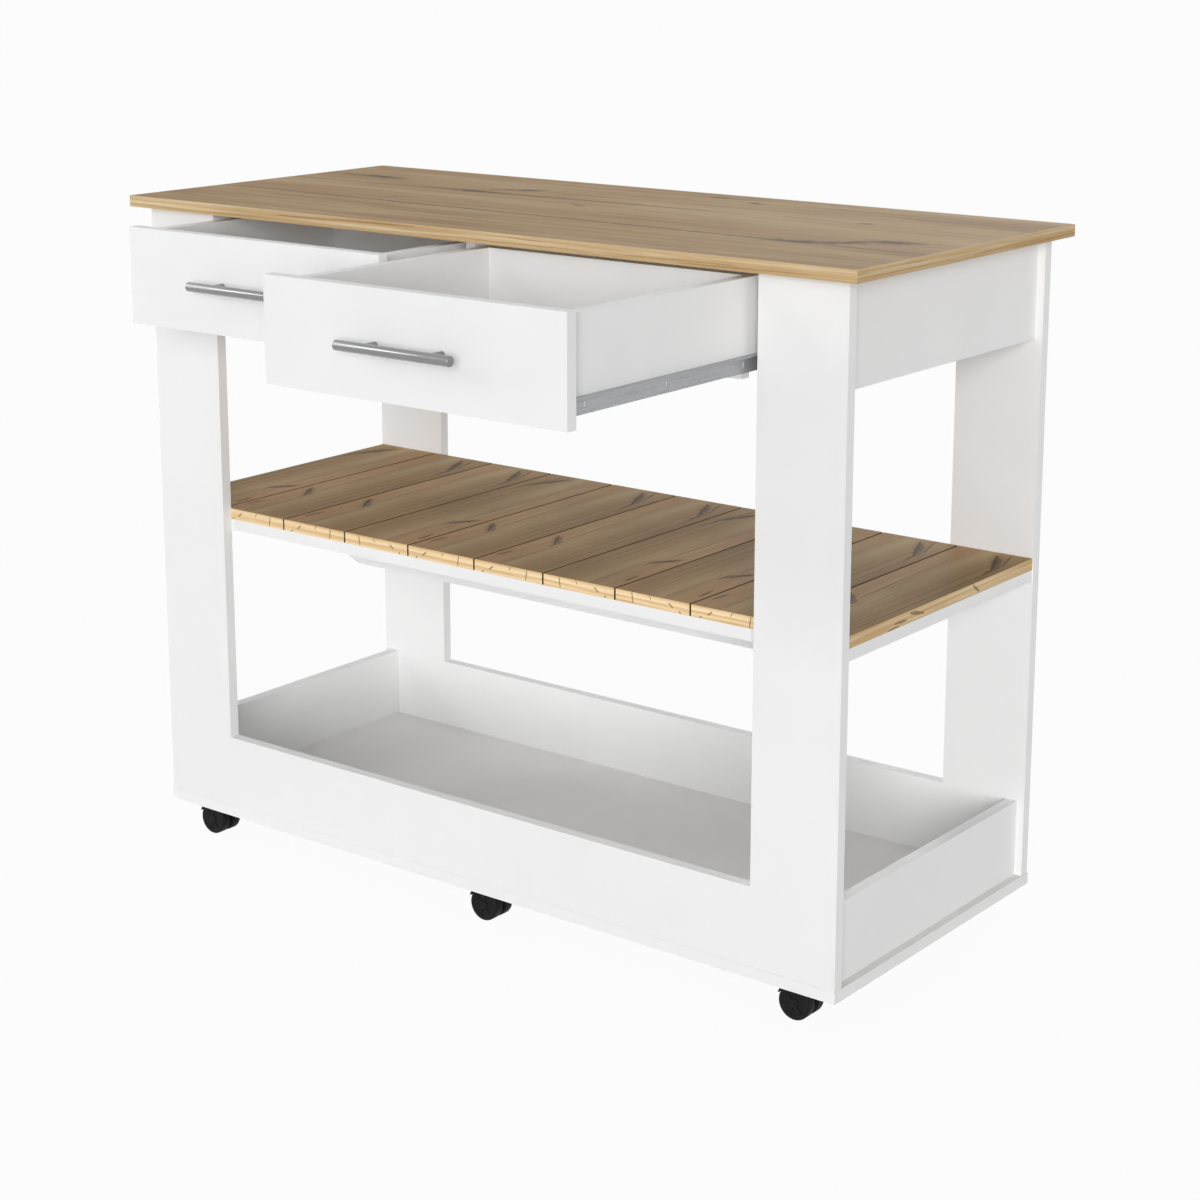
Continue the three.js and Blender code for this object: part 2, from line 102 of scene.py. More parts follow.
# Screw heads as radius and height, and the places of the screws.
PLATE_HEAD = (2.9 * MM, 1.6 * MM)
CHANNEL_HEAD = (3.0 * MM, 1.5 * MM)
PULL_HEAD = (4.2 * MM, 2.2 * MM)
SLIDE_HEAD = (2.7 * MM, 1.3 * MM)
PLATE_SCREW = 15 * MM
CHANNEL_SCREWS = (55 * MM, 180 * MM, 330 * MM)
SLIDE_SCREWS = (45 * MM, 190 * MM, 320 * MM)
SLIDE_SCREW_INSET = 4.6 * MM

SIDES = ("left", "right")
INWARD = {"left": 1, "right": -1}
CASTERS = [f"{row}_{place}" for row in ("front", "rear") for place in ("left", "middle", "right")]

# ------------------------------------------------------------------ the oak decor, in mm

# A noise layer: scale along and across the grain, seed step, detail, roughness, twist.
BANDS = (0.0024, 0.013, 0, 2.0, 0.5, 0.5)
STREAKS = (0.003, 0.07, 2, 4.0, 0.65, 0.4)
LINES = (0.006, 0.33, 5, 4.0, 0.65, 0.6)
FIBRE = (0.03, 1.0, 9, 4.0, 0.75, 0.0)
PORES = (0.09, 2.2, 13, 2.0, 0.6, 0.0)
EDGE_STREAKS = (0.004, 0.22, 0, 3.0, 0.55, 0.5)
EDGE_FIBRE = (0.02, 1.6, 3, 3.0, 0.6, 0.0)

# A crack: start and end along the grain, where it starts and ends across, width, wobble.
# A knot: place along and across, half length, half width, slant in degrees.
# Worktop: along the unit from its middle, and from the front edge.
TOP_TONES = [(0.37, "957650"), (0.44, "A5865D"), (0.50, "B2946A"), (0.56, "BB9F76"), (0.64, "C5AB84")]
TOP_CRACKS = [(-560, 160, 178, 161, 5.0, 7), (0, 420, 165, 153, 6.0, 6), (440, 584, 152, 150, 4.0, 5),
              (-340, 80, 325, 335, 6.5, 9), (0, 150, 333, 338, 3.2, 5), (-550, -420, 386, 384, 8.0, 8),
              (-582, -450, 173, 178, 2.2, 4), (250, 340, 349, 346, 2.0, 4), (470, 576, 337, 333, 2.0, 4),
              (-90, 45, 300, 312, 1.8, 5), (-575, -330, 312, 318, 2.0, 5), (370, 560, 421, 424, 1.6, 5),
              (-300, -250, 205, 226, 2.6, 4), (-582, -540, 386, 388, 2.0, 3)]
TOP_KNOTS = [(402, 160, 58, 17, 10), (440, 176, 50, 13, 24), (494, 216, 46, 19, 18),
             (462, 200, 44, 8, 40), (-245, 327, 46, 14, 2), (-188, 378, 28, 12, 30),
             (-222, 362, 34, 8, 34), (-470, 386, 44, 14, -8), (72, 467, 17, 9, 15),
             (148, 441, 18, 7, -10), (376, 347, 14, 8, 20), (-25, 281, 14, 6, -15)]
HALO_GROWTH = (1.8, 2.2)
HALO_COUNT = 8
TOP_SHREDS = (22, 5)
BROWN_STRIPE = ((150, 200), (215, 262))
PALE_STRIPE = ((248, 272), (292, 322))

# Edge band: along the edge, and up from the lower face.
BAND_TONES = [(0.3, "B8986C"), (0.45, "C7AA80"), (0.58, "D2BA93"), (0.72, "DCC8A6")]
BAND_CRACKS = [(-300, -60, 9, 12.5, 1.6, 2), (340, 520, 2.6, 4.6, 1.2, 1.5), (250, 420, 4.5, 6, 1.0, 2),
               (-120, 260, 4, 5, 0.9, 2), (90, 150, 11, 10, 0.8, 1)]

# Slats: from the back edge, and from the slat's own left edge.
SLAT_COUNT = 10
SLATS_TURNED = (1, 4, 7, 8)
SLAT_DEPTH = 435.0
SLAT_TONES = [(0.36, "91724C"), (0.43, "A5865F"), (0.50, "B4956C"), (0.57, "BEA179"), (0.65, "CBB18C")]
SLAT_CRACKS = [(64, 434, 97, 96, 1.3, 4), (178, 290, 29, 32, 1.6, 4), (14, 86, 65, 96, 3.8, 4),
               (10, 60, 82, 97, 2.4, 4), (274, 320, 10, 37, 2.6, 4), (300, 330, 36, 37, 1.8, 3),
               (370, 404, 12, 10, 2.4, 2), (0, 430, 84, 82, 0.8, 6), (300, 434, 45, 41, 0.9, 5),
               (0, 200, 24, 30, 0.7, 5), (330, 430, 74, 72, 0.8, 4), (120, 320, 52, 55, 0.6, 5)]
SLAT_KNOTS = [(296, 24, 26, 9, 32), (42, 80, 36, 11, 26), (60, 88, 30, 8, 20), (388, 11, 18, 3, -6),
              (92, 95, 28, 4, 6)]
SLAT_SHREDS = (14, 3)
WARM_EDGE = (8, 50)
DARK_STRIPE = ((55, 80), (100, 112))
OLIVE_STRIPE = ((32, 44), (58, 70))

# Marks on the slats' front ends run upward; marks on their sides run back from the front edge.
FRONT_MARKS = [(0.5, 14.7, 85, 88, 1.3, 9), (5, 11, 26, 31, 1.9, 2), (6, 10, 24, 34, 1.0, 3),
               (0, 3.0, 14, 16, 1.5, 1), (9, 14.7, 58, 61, 0.9, 3)]
SIDE_MARKS = [(135, 168, 12, 5, 3.2, 3), (284, 300, 12, 2, 3.4, 2), (100, 128, 6, 5, 2.2, 2),
              (86, 112, 1, 2, 1.6, 1)]

# ------------------------------------------------------------------ relief, light, camera

WOOD_RELIEF = 0.4 * MM
FINE_RELIEF = 0.2 * MM
BRUSH_RELIEF = 0.1 * MM

FLOOR_REACH = 40.0
FLOOR_DROP = 0.2 * MM
FLOOR_GREY = (0.82, 0.82, 0.82, 1.0)
FLOOR_LIFT = 0.95
PLAIN_WHITE = (1.0, 1.0, 1.0, 1.0)
AMBIENT = 0.35

# Name, azimuth and elevation of where the light comes from, spread, brightness on a facing surface.
SUNS = [("key", 34, 8, 30, 0.715), ("back", 190, 10, 50, 0.34), ("left", 285, 12, 50, 0.24),
        ("glint", -50, 26, 12, 0.075)]

SENSOR_WIDTH = 36.0
LENS = 74.054
SHIFT = -0.12
FAR = 100.0
EYE = (1.97953, -2.32750, 1.29589)
AIM = (0.01955, 0.19427, 0.58669)


def srgb(code):
    """A colour written as six hex digits, as linear RGBA."""
    parts = [int(code[i:i + 2], 16) / 255 for i in (0, 2, 4)]
    return [p / 12.92 if p <= 0.04045 else ((p + 0.055) / 1.055) ** 2.4 for p in parts] + [1.0]


# ------------------------------------------------------------------ shader helpers

def put(tree, socket, value):
    """Links an output to a socket, or sets the socket's own value."""
    if isinstance(value, bpy.types.NodeSocket):
        tree.links.new(value, socket)
    elif value is not None:
        socket.default_value = value


def add_node(tree, kind, *values):
    """A new node whose first inputs take the given values."""
    node = tree.nodes.new(kind)
    for socket, value in zip(node.inputs, values):
        put(tree, socket, value)
    return node


class Shader:
    """One material; most methods add a node and return what it puts out."""

    def __init__(self, name):
        self.material = bpy.data.materials.new(name)
        self.material.use_nodes = True
        self.tree = self.material.node_tree
        self.tree.nodes.clear()
        self.bsdf = self.node("ShaderNodeBsdfPrincipled")
        self.node("ShaderNodeOutputMaterial", self.bsdf.outputs[0])
        spot = self.node("ShaderNodeTexCoord")
        self.place = spot.outputs["Object"]
        self.normal = spot.outputs["Normal"]

    def node(self, kind, *values):
        return add_node(self.tree, kind, *values)

    def math(self, op, a, b=None, clamp=False):
        node = self.node("ShaderNodeMath", a, b)
        node.operation = op
        node.use_clamp = clamp
        return node.outputs[0]

    def add(self, a, b):
        return self.math("ADD", a, b)

    def sub(self, a, b):
        return self.math("SUBTRACT", a, b)

    def mul(self, a, b):
        return self.math("MULTIPLY", a, b)

    def size(self, value):
        return self.math("ABSOLUTE", value)

    def ease(self, value, low, high, start=0.0, end=1.0):
        """start below low, end above high, and smooth in between."""
        node = self.node("ShaderNodeMapRange", value, low, high, start, end)
        node.interpolation_type = "SMOOTHSTEP"
        return node.outputs[0]

    def vary(self, noise, start, end):
        """start to end, over the usual range of a noise."""
        return self.ease(noise, 0.3, 0.7, start, end)

    def between(self, amount, a, b):
        """A number that goes from a to b."""
        return self.add(self.mul(a, self.sub(1.0, amount)), self.mul(b, amount))

    def axes(self, vector):
        return tuple(self.node("ShaderNodeSeparateXYZ", vector).outputs)

    def vector(self, x, y, z=0.0):
        return self.node("ShaderNodeCombineXYZ", x, y, z).outputs[0]

    def noise(self, vector, scale, detail=3.0, rough=0.5, twist=0.0):
        node = self.node("ShaderNodeTexNoise", vector)
        node.inputs["Scale"].default_value = scale
        node.inputs["Detail"].default_value = detail
        node.inputs["Roughness"].default_value = rough
        node.inputs["Distortion"].default_value = twist
        return node.outputs[0]

    def drawn(self, scales, rough=0.5):
        """Noise with its own scale along each axis of the part."""
        x, y, z = [self.mul(axis, scale) for axis, scale in zip(self.axes(self.place), scales)]
        return self.noise(self.vector(x, y, z), 1.0, 3.0, rough)

    def ramp(self, value, stops, mode="LINEAR"):
        """Colours or brightnesses at given values, blended or in steps."""
        node = self.node("ShaderNodeValToRGB", value)
        node.color_ramp.interpolation = mode
        points = node.color_ramp.elements
        while len(points) < len(stops):
            points.new(1.0)
        for point, (at, tone) in zip(points, stops):
            point.position = at
            point.color = srgb(tone) if isinstance(tone, str) else [tone] * 3 + [1.0]
        return node.outputs[0]

    def mix(self, amount, a, b):
        """Colour a turning into colour b."""
        node = self.node("ShaderNodeMix", amount)
        node.data_type = "RGBA"
        for socket, tone in zip(node.inputs[6:8], (a, b)):
            put(self.tree, socket, srgb(tone) if isinstance(tone, str) else tone)
        return node.outputs[2]

    def stain(self, colour, layers):
        """Lays tones over a colour; a layer is a mask, its strength and its tone."""
        for mask, strength, tone in layers:
            colour = self.mix(self.mul(mask, strength), colour, tone)
        return colour

    def shade(self, colour, light):
        """A colour times a brightness."""
        node = self.node("ShaderNodeVectorMath", colour)
        node.operation = "SCALE"
        put(self.tree, node.inputs["Scale"], light)
        return node.outputs[0]

    def bump(self, height, strength, relief):
        node = self.node("ShaderNodeBump")
        node.inputs["Strength"].default_value = strength
        node.inputs["Distance"].default_value = relief
        put(self.tree, node.inputs["Height"], height)
        put(self.tree, self.bsdf.inputs["Normal"], node.outputs[0])

    def finish(self, colour, rough, metal=0.0, gloss=0.5):
        put(self.tree, self.bsdf.inputs["Base Color"], colour)
        put(self.tree, self.bsdf.inputs["Roughness"], rough)
        self.bsdf.inputs["Metallic"].default_value = metal
        self.bsdf.inputs["Specular IOR Level"].default_value = gloss
        return self.material


# ------------------------------------------------------------------ wood figure

def streak(s, u, v, crack, seed):
    """A long dark crack that tapers at both ends."""
    u0, u1, v0, v1, width, wobble = crack
    t = s.math("DIVIDE", s.sub(u, u0), u1 - u0, clamp=True)
    taper = s.math("POWER", s.mul(s.mul(t, s.sub(1.0, t)), 4.0), 0.35)
    wave = s.noise(s.vector(s.add(s.mul(u, 0.018), seed), seed), 1.0, 4.0, 0.6)
    swell = s.noise(s.vector(s.add(s.mul(u, 0.07), seed), seed + 4.0), 1.0, 3.0, 0.6)
    path = s.add(s.add(s.mul(t, v1 - v0), v0), s.mul(s.sub(wave, 0.5), wobble))
    reach = s.mul(s.mul(taper, width), s.ease(swell, 0.3, 0.65, 0.7, 1.15))
    away = s.size(s.sub(v, path))
    return s.ease(s.math("DIVIDE", away, s.add(reach, 0.01)), 0.45, 1.0, 1.0, 0.0)


def knot(s, u, v, spot, seed, shreds):
    """A dark oval on a slanting axis, torn into shreds of a given length and width."""
    u0, v0, long, short, angle = spot
    cos, sin = math.cos(math.radians(angle)), math.sin(math.radians(angle))
    du, dv = s.sub(u, u0), s.sub(v, v0)
    a = s.math("DIVIDE", s.add(s.mul(du, cos), s.mul(dv, sin)), long)
    b = s.math("DIVIDE", s.sub(s.mul(dv, cos), s.mul(du, sin)), short)
    far = s.math("SQRT", s.add(s.mul(a, a), s.mul(b, b)))
    place = s.vector(s.add(s.mul(u, 1 / shreds[0]), seed), s.mul(v, 1 / shreds[1]))
    ragged = s.noise(place, 1.0, 5.0, 0.7)
    return s.ease(s.add(far, s.mul(s.sub(ragged, 0.5), 3.2)), 0.35, 1.1, 1.0, 0.0)


def strongest(s, masks):
    result = masks[0]
    for mask in masks[1:]:
        result = s.math("MAXIMUM", result, mask)
    return result


def all_cracks(s, u, v, cracks, seed, step):
    return strongest(s, [streak(s, u, v, crack, seed + step * i) for i, crack in enumerate(cracks)])


def all_knots(s, u, v, knots, seed, step, shreds):
    return strongest(s, [knot(s, u, v, spot, seed + step * i, shreds) for i, spot in enumerate(knots)])


def stripe(s, v, edges, rest=0.0):
    """1 inside a stripe; its two edges are given by where they start and end."""
    rise, fall = edges
    return s.mul(s.ease(v, *rise), s.ease(v, *fall, 1.0, rest))


def grain(s, u, v, seed, layer):
    """One layer of noise, drawn out along the grain."""
    along_grain, across_grain, step, detail, rough, twist = layer
    place = s.vector(s.mul(u, along_grain), s.mul(v, across_grain), seed + step)
    return s.noise(place, 1.0, detail, rough, twist)


def figure(s, u, v, tones, seed):
    """Oak laid open along u: broad bands, growth lines and fine fibres. Returns colour, fibre."""
    bands, streaks, lines, fibre, pores = [grain(s, u, v, seed, layer)
                                           for layer in (BANDS, STREAKS, LINES, FIBRE, PORES)]
    blend = s.add(s.mul(bands, 0.4), s.add(s.mul(streaks, 0.38), s.mul(lines, 0.22)))
    colour = s.shade(s.ramp(blend, tones), s.vary(fibre, 0.83, 1.00))
    return s.shade(colour, s.ease(pores, 0.6, 0.74, 1.0, 0.82)), fibre


def honey(s, u, v, seed):
    """Light oak with soft darker streaks along u, darker low down, and fine lines."""
    soft = grain(s, u, v, seed, EDGE_STREAKS)
    fine = grain(s, u, v, seed, EDGE_FIBRE)
    low = s.ease(s.add(v, s.mul(s.sub(soft, 0.5), 9.0)), 1.5, 6.0, 1.0, 0.0)
    colour = s.stain(s.ramp(soft, BAND_TONES), [(low, 0.35, "B3915F")])
    return s.shade(colour, s.vary(fine, 0.92, 1.06))


def top_face(s, u, v):
    """The worktop from above. Returns colour, fibre and cracks."""
    colour, fibre = figure(s, u, v, TOP_TONES, 2.0)
    halos = [(at, across, long * HALO_GROWTH[0], short * HALO_GROWTH[1], angle)
             for at, across, long, short, angle in TOP_KNOTS[:HALO_COUNT]]
    cracks = all_cracks(s, u, v, TOP_CRACKS, 0.0, 3.7)
    knots = all_knots(s, u, v, TOP_KNOTS, 0.0, 2.3, TOP_SHREDS)
    halo = all_knots(s, u, v, halos, 0.0, 2.3, TOP_SHREDS)
    layers = [(stripe(s, v, BROWN_STRIPE), 0.3, "A27F5E"), (stripe(s, v, PALE_STRIPE), 0.25, "C7AE88"),
              (halo, 0.3, "8E7050"), (knots, 0.55, "725A3E"),
              (s.math("POWER", knots, 3.0), 0.8, "43321F"), (cracks, 0.75, "543E29")]
    return s.stain(colour, layers), fibre, cracks


def top_arris(s, x, y, low, high):
    """1 on the narrow rim where the edge band shows from above."""
    ends = s.sub(high.x - EDGE_BAND, s.size(x))
    front = s.sub(y, low.y + EDGE_BAND)
    back = s.sub(high.y - EDGE_BAND, y)
    inside = s.math("MINIMUM", ends, s.math("MINIMUM", front, back))
    return s.ease(inside, -HAIR, HAIR, 1.0, 0.0)


def oak_top():
    """The worktop's decor, and the edge band on its side faces."""
    s = Shader("oak_worktop")
    low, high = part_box("worktop")
    x, y, z = s.axes(s.place)
    nx, _, nz = s.axes(s.normal)
    u = s.mul(x, 1 / MM)
    v = s.mul(s.sub(y, low.y), 1 / MM)
    up = s.mul(s.sub(z, low.z), 1 / MM)
    run = s.between(s.ease(s.size(nx), 0.4, 0.7), u, v)
    face, fibre, cracks = top_face(s, u, v)
    face = s.mix(top_arris(s, x, y, low, high), face, "E2CDA4")
    band_cracks = all_cracks(s, run, up, BAND_CRACKS, 40, 1.9)
    band = s.stain(honey(s, run, up, 4.0), [(band_cracks, 0.55, "8C6B40")])
    colour = s.mix(s.ease(nz, 0.35, 0.75), band, face)
    s.bump(s.sub(fibre, s.mul(cracks, 0.8)), 0.16, WOOD_RELIEF)
    return s.finish(colour, s.ease(fibre, 0.2, 0.8, 0.66, 0.54), gloss=0.12)


def slat_face(s, u, v, index):
    """The plank from above, a little lighter or darker from slat to slat."""
    colour, fibre = figure(s, u, v, SLAT_TONES, 17.0)
    colour = s.stain(colour, [(s.ease(v, *WARM_EDGE, 1.0, 0.0), 0.4, "BE9670"),
                              (stripe(s, v, DARK_STRIPE, 0.3), 0.4, "9A7F58"),
                              (stripe(s, v, OLIVE_STRIPE), 0.3, "B3A077")])
    wave = s.noise(s.vector(s.mul(u, 0.006), s.mul(index, 3.1)), 1.0, 2.0)
    colour = s.shade(colour, s.vary(wave, 0.94, 1.06))
    cracks = all_cracks(s, u, v, SLAT_CRACKS, 20, 2.9)
    knots = all_knots(s, u, v, SLAT_KNOTS, 30, 1.7, SLAT_SHREDS)
    colour = s.stain(colour, [(knots, 0.5, "7A6146"), (s.math("POWER", knots, 4.0), 0.5, "4A3826"),
                              (cracks, 0.7, "4C3825")])
    return colour, fibre, cracks


def slat_front(s, v, up, index):
    """The front ends of the slats, with cracks that run upward."""
    colour = s.shade(honey(s, s.add(v, s.mul(index, 40.0)), s.add(up, 6.0), 33.0), 1.38)
    return s.stain(colour, [(all_cracks(s, up, v, FRONT_MARKS, 60, 5.3), 0.75, "5C452B")])


def slat_side(s, x, u, up):
    """The long sides: light on the two outermost ones, and painted dark inside the seams between the
    slats, as painted shade.
    """
    marks = all_cracks(s, s.sub(SLAT_DEPTH, u), up, SIDE_MARKS, 80, 6.1)
    colour = s.shade(s.stain(honey(s, u, up, 21.0), [(marks, 0.7, "6A5434")]), 1.12)
    # Sides that face another slat across a seam get a dark brown: painted shade in the gaps.
    painted_seam_shade = s.math("LESS_THAN", s.size(x), (SLAT_COUNT / 2 - 0.5) * SLAT_PITCH)
    return s.mix(painted_seam_shade, colour, "4E3B28")


def oak_slats():
    """One printed plank, repeated on every slat and turned over on some of them."""
    s = Shader("oak_slats")
    low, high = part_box("shelf_slat_5")
    x, y, z = s.axes(s.place)
    nx, _, nz = s.axes(s.normal)
    cell = s.math("DIVIDE", x, SLAT_PITCH)
    index = s.math("FLOOR", cell)
    across = s.sub(cell, index)
    number = s.mul(s.add(index, (SLAT_COUNT + 1) / 2), 1 / SLAT_COUNT)
    turns = [(i / SLAT_COUNT, float(i + 1 in SLATS_TURNED)) for i in range(SLAT_COUNT)]
    across = s.between(s.ramp(number, turns, "CONSTANT"), across, s.sub(1.0, across))
    u = s.mul(s.sub(high.y, y), 1 / MM)
    v = s.mul(across, SLAT_PITCH / MM)
    up = s.mul(s.sub(z, low.z), 1 / MM)
    face, fibre, cracks = slat_face(s, u, v, index)
    edge = s.mix(s.ease(s.size(nx), 0.4, 0.7), slat_front(s, v, up, index), slat_side(s, x, u, up))
    colour = s.mix(s.ease(nz, 0.35, 0.75), edge, face)
    s.bump(s.sub(fibre, s.mul(cracks, 0.9)), 0.2, WOOD_RELIEF)
    return s.finish(colour, s.ease(fibre, 0.2, 0.8, 0.68, 0.56), gloss=0.12)


# ------------------------------------------------------------------ other finishes

def satin(s, rough):
    """The very fine relief of laminate; returns its slightly uneven roughness."""
    s.bump(s.noise(s.place, 900.0, 2.0, 0.6), 0.08, FINE_RELIEF)
    return s.vary(s.noise(s.place, 26.0, 3.0), *rough)


def laminate(name, colour, shade):
    """Satin white laminate with a faint mottling."""
    s = Shader(name)
    cloud = s.ease(s.noise(s.place, 5.0, 3.0), 0.35, 0.65)
    return s.finish(s.mix(cloud, colour, shade), satin(s, (0.36, 0.46)), gloss=0.3)


def tray_laminate():
    """The laminate of the base board, with black steel plates under it; its upward face is a little
    warmer and painted darker than its edges, as painted shade.
    """
    s = Shader("tray_laminate")
    low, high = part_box("base_board")
    plate_top = high.z - BOARD - HAIR / 2
    _, _, z = s.axes(s.place)
    _, _, nz = s.axes(s.normal)
    cloud = s.ease(s.noise(s.place, 4.0, 3.0), 0.35, 0.65)
    edges = s.mix(cloud, "F2F2F2", "EFEFEF")
    # The upward face, the tray floor, is painted darker than the edges: painted shade.
    floor = s.mix(cloud, "EAE9E7", "E6E5E3")
    colour = s.mix(s.ease(nz, 0.5, 0.9), edges, floor)
    plates = s.ease(z, plate_top - HAIR, plate_top, 1.0, 0.0)
    colour = s.mix(plates, colour, "2A2A2B")
    return s.finish(colour, satin(s, (0.42, 0.5)), gloss=0.4)


def zinc():
    """Grey coated sheet: a fine spangle and rolling lines along the slide."""
    s = Shader("slide_steel")
    lines = s.drawn((900.0, 12.0, 900.0))
    spangle = s.noise(s.place, 420.0, 2.0, 0.7)
    blend = s.add(s.mul(lines, 0.5), s.mul(spangle, 0.5))
    colour = s.ramp(blend, [(0.35, "9C9DA0"), (0.5, "ADAEB0"), (0.65, "BABBBD")])
    s.bump(lines, 0.12, FINE_RELIEF)
    return s.finish(colour, s.vary(spangle, 0.36, 0.5), metal=0.55)


def brushed():
    """Satin steel with fine brush lines along the bar."""
    s = Shader("brushed_steel")
    lines = s.drawn((25.0, 2600.0, 2600.0), 0.6)
    colour = s.ramp(lines, [(0.3, "858586"), (0.5, "8F8F90"), (0.7, "9A9A9B")])
    s.bump(lines, 0.02, BRUSH_RELIEF)
    return s.finish(colour, s.vary(lines, 0.2, 0.26), metal=1.0)


def plain(name, tones, rough, metal=0.0, scale=300.0, gloss=0.5):
    """A moulded or cast surface: fine grain in colour, gloss and relief."""
    s = Shader(name)
    fine = s.noise(s.place, scale, 3.0, 0.6)
    s.bump(fine, 0.15, FINE_RELIEF)
    colour = s.ramp(fine, [(0.3, tones[0]), (0.7, tones[1])])
    return s.finish(colour, s.vary(fine, *rough), metal, gloss)


WHITE = laminate("white_laminate", "F1F1F1", "EEEEEE")
DRAWER_FLOOR = laminate("drawer_floor", "E6E5E4", "E2E1E0")
BRUSHED = brushed()
BLACK = plain("black_plastic", ("141415", "1D1D1E"), (0.38, 0.52), gloss=0.12)
TREAD = plain("wheel_tread", ("171718", "202021"), (0.45, 0.6), scale=500.0, gloss=0.1)
NYLON = plain("roller_nylon", ("B9B9B7", "C9C9C6"), (0.4, 0.5), scale=400.0)
SCREW = plain("screw_steel", ("8A8B8E", "A6A7AA"), (0.25, 0.4), metal=1.0, scale=700.0)
FINISH = {"white_board": WHITE, "tray_board": tray_laminate(), "oak_top": oak_top(),
          "oak_slat": oak_slats(), "zinc_steel": zinc(), "brushed_steel": BRUSHED,
          "black_plastic": BLACK}


# ------------------------------------------------------------------ finishes on the CAD nodes

def dress_nodes():
    """Gives every node the finish of its material; the drawer bottoms are a little darker."""
    for part in frame["record"]["subparts"]:
        bottom = part["node"].endswith("drawer_bottom")
        node = NODES[part["node"]]
        node.data.materials.clear()
        node.data.materials.append(DRAWER_FLOOR if bottom else FINISH[part["material_slot"]])


def soften(node, width, segments=2):
    """Rounds the sharp edges of a node."""
    bevel = node.modifiers.new("arris", "BEVEL")
    bevel.width = width
    bevel.segments = segments
    bevel.limit_method = "ANGLE"
    bevel.angle_limit = math.radians(50)
    bevel.harden_normals = False


def soften_nodes():
    soften(NODES["worktop"], TOP_ARRIS, 3)
    for name, node in NODES.items():
        if name.startswith("shelf_slat"):
            soften(node, SLAT_ARRIS)
        elif name.endswith(("front", "side_left", "side_right", "back")) or "tray_end" in name:
            soften(node, BOARD_ARRIS)
        elif name.endswith("swivel"):
            soften(node, SWIVEL_ARRIS)
        elif "upper_end" in name or name in ("shelf_board", "shelf_stiffener", "centre_divider"):
            soften(node, PANEL_ARRIS)


# ------------------------------------------------------------------ mesh helpers

def solid(name, bm, material, sharp=35.0):
    """A smooth mesh from a bmesh, with edges kept sharp above an angle."""
    bmesh.ops.recalc_face_normals(bm, faces=bm.faces)
    mesh = bpy.data.meshes.new(name)
    bm.to_mesh(mesh)
    bm.free()
    mesh.materials.append(material)
    mesh.shade_smooth()
    mesh.set_sharp_from_angle(angle=math.radians(sharp))
    return mesh


def add_piece(name, mesh, body, at=(0.0, 0.0, 0.0)):
    """Places a mesh as a piece that rides on a body."""
    obj = bpy.data.objects.new(name, mesh)
    bpy.context.scene.collection.objects.link(obj)
    obj.location = at
    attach(obj, body)
    return obj


def ring(bm, radius, height, segments, turn):
    """The vertices at one height of a turned shape; a single one where it meets the axis."""
    if radius < 1e-7:
        return [bm.verts.new(turn @ Vector((0, 0, height)))]
    angles = [2 * math.pi * i / segments for i in range(segments)]
    return [bm.verts.new(turn @ Vector((radius * math.cos(a), radius * math.sin(a), height)))
            for a in angles]


def turned(bm, profile, segments, turn):
    """Spins a profile of (radius, height) points about local Z, and returns its rings."""
    rings = [ring(bm, radius, height, segments, turn) for radius, height in profile]
    for low, high in zip(rings, rings[1:]):
        for i in range(segments):
            j = (i + 1) % segments
            if len(low) == 1:
                corners = (low[0], high[j], high[i])
            elif len(high) == 1:
                corners = (low[i], low[j], high[0])
            else:
                corners = (low[i], low[j], high[j], high[i])
            bm.faces.new(corners)
    return rings


def rounded(radius, centre_r, centre_h, start, end, steps):
    """Points of an arc in the profile plane, angles in degrees."""
    angles = [math.radians(start + (end - start) * i / steps) for i in range(steps + 1)]
    return [(centre_r + radius * math.cos(a), centre_h + radius * math.sin(a)) for a in angles]


def along(axis, at):
    """A frame at a point whose local Z runs along X or Y."""
    turn = {"X": Matrix.Rotation(math.radians(90), 4, "Y"),
            "Y": Matrix.Rotation(math.radians(-90), 4, "X")}[axis]
    return Matrix.Translation(at) @ turn


def facing(at, direction):
    """A frame at a point whose local Z runs in a direction."""
    return Matrix.Translation(at) @ Vector(direction).to_track_quat("Z", "Y").to_matrix().to_4x4()


def outer_x(node, hand):
    """The face of a node that is turned away from the middle of its drawer."""
    low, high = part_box(node)
    return low.x if hand == "left" else high.x


# ------------------------------------------------------------------ bar pulls

def bar_profile(half):
    """A round bar with softened ends, half as long on each side of its middle."""
    core = PULL_RADIUS - PULL_CHAMFER
    points = [(0.0, -half), (core, -half)]
    points += rounded(PULL_CHAMFER, core, -half + PULL_CHAMFER, -60, 0, 3)
    points += rounded(PULL_CHAMFER, core, half - PULL_CHAMFER, 0, 60, 3)
    return points + [(core, half), (0.0, half)]


def post_profile(reach):
    return [(0.0, 0.0), (POST_RADIUS, 0.0), (POST_RADIUS, reach - POST_CHAMFER),
            (POST_RADIUS - POST_CHAMFER, reach), (0.0, reach)]


def add_pull(side):
    low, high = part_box(f"{side}_drawer_pull")
    middle = (low + high) / 2
    axis_y = low.y + PULL_RADIUS
    bm = bmesh.new()
    turned(bm, bar_profile((high.x - low.x) / 2), 48, along("X", (middle.x, axis_y, middle.z)))
    for sign in (-1, 1):
        foot = (middle.x + sign * POST_SPACING / 2, axis_y, middle.z)
        turned(bm, post_profile(high.y - axis_y), 32, along("Y", foot))
    name = f"{side}_bar_pull"
    pull = add_piece(name, solid(name, bm, BRUSHED), f"{side}_drawer")
    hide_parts(f"{side}_drawer_pull")


# ------------------------------------------------------------------ casters

